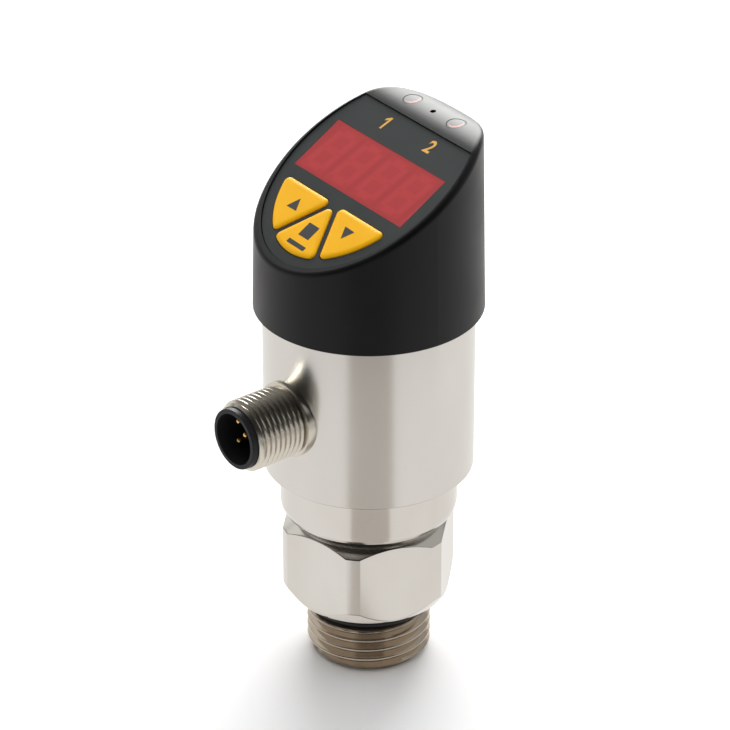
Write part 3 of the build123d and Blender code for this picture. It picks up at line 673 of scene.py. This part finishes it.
def dark_lens(name):
    """Light pipe drawn dark like the head, with a dark rim, and a painted red crescent: the lamp below as
    seen through the clear pipe from the camera's side.
    """
    finish = Finish(name, Specular_IOR_Level=0.23)
    x, y = head_place(finish)
    side = finish.math("SIGN", x)
    across = finish.math("MULTIPLY", finish.math("SUBTRACT", finish.math("ABSOLUTE", x), LENS_X), side)
    along = finish.math("SUBTRACT", y, LENS_Y)

    def away(dx, dy):
        """Distance from a point near the lens's centre."""
        return finish.length(finish.math("SUBTRACT", across, dx), finish.math("SUBTRACT", along, dy))

    centre = away(0.0, 0.0)
    inside = finish.spread(centre, 1.0, 0.0, 1.15, 1.35)
    beyond = finish.spread(away(-0.45, 0.25), 0.0, 1.0, 1.15, 1.6)
    cloud = finish.noise(finish.scaled(900, 900, 900))
    # Painted red crescent: the lamp below as seen through the pipe, on the side towards the camera.
    lamp = finish.math("MULTIPLY", finish.math("MULTIPLY", inside, beyond), finish.spread(cloud, 0.75, 1.0))
    body = finish.blend(lamp, (0.004, 0.004, 0.0045), (0.55, 0.17, 0.14))
    rim = finish.spread(centre, 0.0, 1.0, 1.5, 1.6)
    finish.feed("Base Color", finish.blend(rim, body, (0.001, 0.001, 0.001)))
    finish.feed("Roughness", finish.spread(rim, 0.38, 0.9, 0.0, 1.0))
    return finish.material


def face_place(finish):
    """Millimetres across and up the sloping face, from object coordinates."""
    across, along = head_place(finish)
    return across, finish.math("DIVIDE", along, cos(FACE_TILT))


def red_window(name):
    """Red filter with four unlit seven-segment digits showing faintly through it."""
    finish = Finish(name, Specular_IOR_Level=0.1)
    u, v = face_place(finish)
    lean = finish.math("MULTIPLY", v, DIGIT_LEAN)
    shifted = finish.math("ADD", finish.math("SUBTRACT", u, lean), DIGIT_PITCH * 2)
    local = finish.math("SUBTRACT", finish.math("MODULO", shifted, DIGIT_PITCH), DIGIT_PITCH / 2)
    across = finish.math("ABSOLUTE", local)
    up = finish.math("ABSOLUTE", v)

    def past(place, middle, half):
        """How far a place is past the ends of a stretch about its middle."""
        return finish.math("SUBTRACT", finish.math("ABSOLUTE", finish.math("SUBTRACT", place, middle)), half)

    def bar(middle_u, half_u, middle_v, half_v):
        """Soft-edged box in every digit: 1 inside, 0 outside."""
        edge = finish.math("MAXIMUM", past(across, middle_u, half_u), past(up, middle_v, half_v))
        return finish.spread(edge, 1.0, 0.0, -0.1, 0.25)

    reach = DIGIT_HALF_W - SEGMENT_HALF - 0.15
    posts = bar(DIGIT_HALF_W, SEGMENT_HALF, DIGIT_HALF_H / 2, DIGIT_HALF_H / 2 - 0.2)
    middle = bar(0.0, reach, 0.0, SEGMENT_HALF)
    ends = bar(0.0, reach, DIGIT_HALF_H, SEGMENT_HALF)
    segments = finish.math("MAXIMUM", posts, finish.math("MAXIMUM", middle, ends))
    block = bar(0.0, DIGIT_HALF_W + 0.9, 0.0, DIGIT_HALF_H + 0.9)
    cloud = finish.noise(finish.scaled(420, 420, 420), detail=3.0)
    ghost = finish.math("ADD", finish.math("MULTIPLY", segments, 0.5), finish.math("MULTIPLY", block, 0.3))
    ghost = finish.math("ADD", ghost, finish.math("MULTIPLY", cloud, 0.2))
    finish.feed("Base Color", finish.blend(ghost, (0.37, 0.027, 0.031), (0.465, 0.036, 0.040)))
    fine = finish.noise(finish.scaled(5000, 5000, 5000))
    finish.feed("Roughness", finish.spread(fine, 0.38, 0.5))
    finish.bump(fine, 1.5e-6)
    return finish.material


BLACK = {"Specular_IOR_Level": 0.15}
SATIN = {"Specular_IOR_Level": 0.24}
# How each material slot is made, its two tones, its range of roughness, and what else sets it apart.
LOOKS = {
    "turned_steel": (steel, (0.66, 0.635, 0.60), (0.60, 0.57, 0.53), (0.15, 0.24), {"oiled": True}),
    "housing_steel": (steel, (0.65, 0.63, 0.60), (0.61, 0.585, 0.55), (0.20, 0.26), {}),
    "sleeve_metal": (steel, (0.66, 0.62, 0.55), (0.54, 0.50, 0.43), (0.235, 0.27), {"axis": "Y"}),
    "seal_rubber": (moulded, (0.012, 0.012, 0.013), (0.02, 0.02, 0.021), (0.5, 0.65), BLACK),
    "cell_ceramic": (moulded, (0.82, 0.81, 0.77), (0.76, 0.75, 0.72), (0.45, 0.6), {"depth": 6e-6}),
    "contact_gold": (steel, (0.90, 0.62, 0.24), (0.80, 0.50, 0.16), (0.16, 0.26), {"axis": "Y"}),
    "insert_plastic": (moulded, (0.012, 0.012, 0.014), (0.02, 0.02, 0.022), (0.35, 0.5), BLACK),
    "wire_jacket": (moulded, (0.09, 0.09, 0.10), (0.13, 0.13, 0.14), (0.4, 0.6), {}),
    "inner_plastic": (moulded, (0.03, 0.03, 0.034), (0.05, 0.05, 0.055), (0.5, 0.65), {}),
    "fastener_steel": (steel, (0.60, 0.60, 0.60), (0.48, 0.48, 0.49), (0.2, 0.35), {}),
    "chip_plastic": (moulded, (0.02, 0.02, 0.021), (0.035, 0.035, 0.036), (0.5, 0.7), {"depth": 8e-6}),
    "can_aluminium": (steel, (0.80, 0.80, 0.82), (0.70, 0.70, 0.72), (0.25, 0.38), {}),
    "head_plastic": (moulded, (0.0025, 0.0025, 0.003), (0.004, 0.004, 0.0045), (0.35, 0.43), SATIN),
    "membrane_film": (moulded, (0.023, 0.0275, 0.0285), (0.027, 0.0315, 0.0325), (0.42, 0.52), BLACK),
    "digit_module": (moulded, (0.05, 0.01, 0.01), (0.08, 0.015, 0.015), (0.3, 0.45), {}),
    "led_red": (moulded, (0.75, 0.10, 0.08), (0.85, 0.16, 0.12), (0.2, 0.3), {}),
    "key_yellow": (moulded, (0.92, 0.455, 0.001), (0.95, 0.485, 0.002), (0.35, 0.45),
                   {"depth": 1.5e-6, "Specular_IOR_Level": 0.1}),
}
SPECIAL_LOOKS = {
    "board_laminate": laminate,
    "window_red": red_window,
    "lens_clear": dark_lens,
    "vent_white": porous,
}


def printed_ink(name, colour, second):
    """Flat screen-printed ink with a faint grain."""
    return moulded(name, colour, second, (0.45, 0.6), cell=4000.0, depth=2e-6, Specular_IOR_Level=0.3)


def give_finishes():
    """Give every CAD node the finish of its material slot."""
    for part in RECORD["subparts"]:
        for place in frame["nodes"][part["node"]].material_slots:
            place.material = FINISHES[part["material_slot"]]


FINISHES = {slot: make(slot, *looks, **more) for slot, (make, *looks, more) in LOOKS.items()}
FINISHES.update({slot: make(slot) for slot, make in SPECIAL_LOOKS.items()})
KEY_INK = printed_ink("key_ink", (0.022, 0.024, 0.024), (0.030, 0.032, 0.032))
FACE_INK = printed_ink("face_ink", (0.72, 0.38, 0.035), (0.78, 0.42, 0.045))


# ------------------------------------------------------------------ pieces
def make_metal_parts():
    """Fitting and sleeve with true helical threads."""
    fitting_mesh = mesh_from("threaded_fitting", build_fitting)
    fitting = new_object("threaded_fitting", fitting_mesh, "turned_steel", "process_fitting")
    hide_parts("process_connection")
    sleeve_mesh = mesh_from("threaded_sleeve", build_sleeve)
    sleeve = new_object("threaded_sleeve", sleeve_mesh, "sleeve_metal", "housing")
    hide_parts("connector_sleeve")
    for piece in (fitting, sleeve):
        even_normals(piece)


def print_on(name, mesh, body, ink):
    """Printed piece on a key or on the face, in an ink of its own."""
    mark = new_object(name, mesh, "key_yellow", body)
    mark.material_slots[0].material = ink


def make_keys():
    """Yellow keys and the symbols printed on them."""
    square = rectangle(0.34, -13.9, 2.75, 2.7)
    bar = rectangle(0.4, -16.9, 4.6, 0.8)
    marks = {
        "key_up": {"key_up_arrow": [(-5.46, -12.17), (-6.78, -9.93), (-8.09, -12.23)]},
        "key_set": {"key_set_square": square, "key_set_bar": bar},
        "key_down": {"key_down_arrow": [(7.04, -12.19), (8.32, -10.05), (5.77, -9.99)]},
    }
    for name, printed in marks.items():
        cap = new_object(name + "_cap", mesh_from(name + "_cap", build_key(name), 60), "key_yellow", name)
        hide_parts(name)
        even_normals(cap)
        for mark, points in printed.items():
            print_on(mark, mesh_from(mark, build_mark(points)), name, KEY_INK)


def build_one(u, v):
    """Draws the numeral 1 on the face: a leaning stem and its flag."""
    lean = 0.2
    stem = [(0.05, -1.3), (0.5, -1.3), (0.5, 1.3), (0.05, 1.3)]
    flag = [(-0.62, 0.3), (0.04, 0.75), (0.04, 1.3), (-0.62, 0.78)]

    def build(bm):
        for shape in (stem, flag):
            outline = [Vector((u + x + y * lean, v + y)) for x, y in shape]
            slab(bm, [(outline, 0.0), (outline, INK_HEIGHT)])
    return build


def two_mesh(u, v):
    """Mesh of the numeral 2 on the face, in the drawing program's own typeface."""
    curve = bpy.data.curves.new("numeral_2", "FONT")
    curve.body = "2"
    curve.size = 3.5 * MM
    curve.shear = 0.12
    curve.offset = 0.07 * MM
    curve.extrude = INK_HEIGHT / 2 * MM
    curve.align_x = "CENTER"
    curve.align_y = "CENTER"
    source = bpy.data.objects.new("numeral_source", curve)
    bpy.context.scene.collection.objects.link(source)
    bpy.context.view_layer.update()
    mesh = bpy.data.meshes.new_from_object(source.evaluated_get(bpy.context.evaluated_depsgraph_get()))
    bpy.data.objects.remove(source)
    lay = HEAD_ROTATION @ Matrix.Rotation(FACE_TILT, 4, "X")
    centre = on_face(u, v, INK_HEIGHT / 2) * MM
    mesh.transform(Matrix.Translation(centre) @ lay)
    mesh.materials.clear()
    return mesh


def make_numerals():
    """Channel numerals 1 and 2, printed under the two lamps."""
    one = mesh_from("numeral_1", build_one(-5.8, 8.7))
    print_on("numeral_1", one, "display_head", FACE_INK)
    print_on("numeral_2", two_mesh(6.1, 8.8), "display_head", FACE_INK)


give_finishes()
make_metal_parts()
make_keys()
make_numerals()


# ------------------------------------------------------------------ studio
def make_floor():
    """Pale paper that turns to plain white with distance."""
    bm = bmesh.new()
    bmesh.ops.create_grid(bm, x_segments=8, y_segments=8, size=3.0)
    mesh = bpy.data.meshes.new("floor")
    bm.to_mesh(mesh)
    bm.free()
    floor = bpy.data.objects.new("floor", mesh)
    bpy.context.scene.collection.objects.link(floor)
    finish = Finish("floor_paper", Specular_IOR_Level=0.1)
    tone = finish.noise(finish.scaled(30, 30, 30))
    finish.feed("Base Color", finish.blend(tone, (0.90, 0.90, 0.905), (0.92, 0.92, 0.925)))
    finish.feed("Roughness", finish.spread(tone, 0.6, 0.7))
    finish.shader.inputs["Emission Color"].default_value = (1, 1, 1, 1)
    away = finish.add("ShaderNodeVectorMath", {0: finish.place()}, operation="LENGTH").outputs["Value"]
    finish.feed("Emission Strength", finish.spread(away, 0.0, 0.6, 0.35, 1.3))
    mesh.materials.append(finish.material)


def sector(near, far, left, right, height):
    """Level quads between two distances from the main axis, in mm, and two angles from the camera's side."""
    steps = 72
    start = CAMERA_AZIMUTH - 90 + left
    angles = [radians(start + (right - left) * k / steps) for k in range(steps + 1)]
    quads = []
    for a, b in zip(angles, angles[1:]):
        corners = ((near, a), (far, a), (far, b), (near, b))
        quads.append([Vector((r * cos(angle), r * sin(angle), height)) * MM for r, angle in corners])
    return quads


def glow_card(name, polygons, strength, tint=(1.0, 1.0, 1.0)):
    """Flat glowing card that only shows in reflections: a bright one stands in for lit paper round the
    object, and a dim one is painted shade on that paper.
    """
    bm = bmesh.new()
    for points in polygons:
        bm.faces.new([bm.verts.new(point) for point in points])
    mesh = bpy.data.meshes.new(name)
    bm.to_mesh(mesh)
    bm.free()
    card = bpy.data.objects.new(name, mesh)
    bpy.context.scene.collection.objects.link(card)
    material = bpy.data.materials.new(name)
    material.use_nodes = True
    nodes = material.node_tree.nodes
    nodes.clear()
    glow = nodes.new("ShaderNodeEmission")
    glow.inputs["Color"].default_value = (*tint, 1.0)
    glow.inputs["Strength"].default_value = strength
    out = nodes.new("ShaderNodeOutputMaterial")
    material.node_tree.links.new(glow.outputs[0], out.inputs[0])
    mesh.materials.append(material)
    card.visible_camera = False
    card.visible_diffuse = False
    card.visible_shadow = False
    card.visible_transmission = False


def wall(left, right, low, high):
    """Upright quads one metre away, between two angles from the camera's side and two elevations."""
    steps = 4
    edges = [CAMERA_AZIMUTH + left + (right - left) * k / steps for k in range(steps + 1)]
    corners = [((a, low), (b, low), (b, high), (a, high)) for a, b in zip(edges, edges[1:])]
    return [[towards(azimuth, elevation, 1.0) for azimuth, elevation in quad] for quad in corners]


def towards(azimuth, elevation, distance):
    """Place seen from the origin, with angles as for the camera, in the unit of the distance."""
    a, e = radians(azimuth), radians(elevation)
    return Vector((sin(a) * cos(e), -cos(a) * cos(e), sin(e))) * distance


def area_light(name, place, size, power, mirrored=True):
    """Square soft light aimed at the object. mirrored says whether it shows in glossy surfaces."""
    light = bpy.data.lights.new(name, "AREA")
    light.size = size
    light.energy = power
    lamp = bpy.data.objects.new(name, light)
    bpy.context.scene.collection.objects.link(lamp)
    lamp.location = place
    lamp.rotation_euler = (place - Vector((0, 0, 0.05))).to_track_quat("Z", "Y").to_euler()
    lamp.visible_camera = False
    lamp.visible_glossy = mirrored


def room_light(nodes, links, path):
    """Strength of the room's light by direction: bright at the back and sides, dark at the front.

    What glossy surfaces mirror is dark above the table's edge all round, as in a dim room with a lit table.
    """
    def ramp(value, low, high, start, end):
        node = nodes.new("ShaderNodeMapRange")
        node.interpolation_type = "SMOOTHSTEP"
        links.new(value, node.inputs["Value"])
        for socket, number in (("From Min", low), ("From Max", high), ("To Min", start), ("To Max", end)):
            node.inputs[socket].default_value = number
        return node.outputs["Result"]

    def times(a, b):
        node = nodes.new("ShaderNodeMath")
        node.operation = "MULTIPLY"
        links.new(a, node.inputs[0])
        links.new(b, node.inputs[1])
        return node.outputs[0]

    direction = nodes.new("ShaderNodeTexCoord").outputs["Generated"]
    front = nodes.new("ShaderNodeVectorMath")
    front.operation = "DOT_PRODUCT"
    links.new(direction, front.inputs[0])
    front.inputs[1].default_value = towards(CAMERA_AZIMUTH, 12, 1.0)
    parts = nodes.new("ShaderNodeSeparateXYZ")
    links.new(direction, parts.inputs[0])
    mirrored = times(path.outputs["Is Glossy Ray"], ramp(parts.outputs[2], 0.08, 0.25, 0.0, 1.0))
    room = ramp(front.outputs["Value"], 0.1, 0.6, ROOM_BRIGHT, ROOM_DARK)
    return times(room, ramp(mirrored, 0.0, 1.0, 1.0, ROOM_MIRRORED))


def make_room():
    """World: white for the camera, and the room's light for everything else."""
    world = bpy.data.worlds.new("studio")
    bpy.context.scene.world = world
    world.use_nodes = True
    nodes, links = world.node_tree.nodes, world.node_tree.links
    nodes.clear()
    seen, lit = nodes.new("ShaderNodeBackground"), nodes.new("ShaderNodeBackground")
    seen.inputs["Color"].default_value = (1, 1, 1, 1)
    lit.inputs["Color"].default_value = (1.0, 0.995, 0.985, 1)
    seen.inputs["Strength"].default_value = 1.05
    path = nodes.new("ShaderNodeLightPath")
    links.new(room_light(nodes, links, path), lit.inputs["Strength"])
    mix = nodes.new("ShaderNodeMixShader")
    out = nodes.new("ShaderNodeOutputWorld")
    links.new(path.outputs["Is Camera Ray"], mix.inputs[0])
    links.new(lit.outputs[0], mix.inputs[1])
    links.new(seen.outputs[0], mix.inputs[2])
    links.new(mix.outputs[0], out.inputs[0])


def make_lights():
    """Soft lights behind and above, and cards that give the steel what it mirrors, the dim ones in front
    being painted shade.
    """
    area_light("back_softbox", towards(CAMERA_AZIMUTH + 172, 42, 0.8), 0.6, 6.0)
    area_light("top_softbox", towards(CAMERA_AZIMUTH + 5, 62, 0.8), 0.6, 1.3, mirrored=False)
    # Painted shade: the next five cards are dimmer than the floor card under them, and stand for the
    # object's shadow on the paper in front and the dimmer paper further out in front, as the steel mirrors
    # them.
    glow_card("near_shadow_card", sector(16.5, 29, *CARD_SIDES, 0.6), 0.30, WARM_TINT)
    glow_card("front_shadow_card", sector(29, 152, *CARD_SIDES, 0.6), 0.65, WARM_TINT)
    glow_card("far_shade_card", sector(152, 600, *CARD_SIDES, 0.6), 0.27, (1.0, 0.97, 0.94))
    glow_card("far_floor_glow", sector(152, 600, -75, 75, 0.5), 0.68)
    glow_card("near_floor_glow", sector(10.7, 29, -75, 70, 0.4), 0.9, (1.0, 0.97, 0.93))
    glow_card("floor_glow", sector(10.7, 1200, -180, 180, 0.3), 1.04, (1.0, 0.985, 0.965))
    glow_card("back_card", wall(150, 205, 8, 56), 6.2, ROOM_TINT)
    glow_card("side_card", wall(55, 150, 28, 64), 0.55, ROOM_TINT)
    glow_card("crown_card", wall(205, 243, 26, 56), 1.0, ROOM_TINT)
    glow_card("left_edge_card", wall(205, 226, 2, 26), 1.0, ROOM_TINT)
    glow_card("right_edge_card", wall(136, 150, 2, 26), 0.9, ROOM_TINT)


def make_camera():
    """Camera that looks down at the object from its front right."""
    camera = bpy.data.objects.new("camera", bpy.data.cameras.new("camera"))
    bpy.context.scene.collection.objects.link(camera)
    back = towards(CAMERA_AZIMUTH, CAMERA_ELEVATION, 1.0)
    right = towards(CAMERA_AZIMUTH + 90, 0, 1.0)
    aim = Vector((0, 0, AIM_HEIGHT)) - right * AIM_LEFT
    camera.location = (aim + back * CAMERA_DISTANCE) * MM
    camera.rotation_euler = back.to_track_quat("Z", "Y").to_euler()
    camera.data.sensor_width = 36.0
    camera.data.lens = CAMERA_LENS
    camera.data.clip_start = 0.01
    camera.data.clip_end = 50.0
    bpy.context.scene.camera = camera


make_floor()
make_room()
make_lights()
make_camera()
bpy.context.scene.view_settings.view_transform = "Standard"
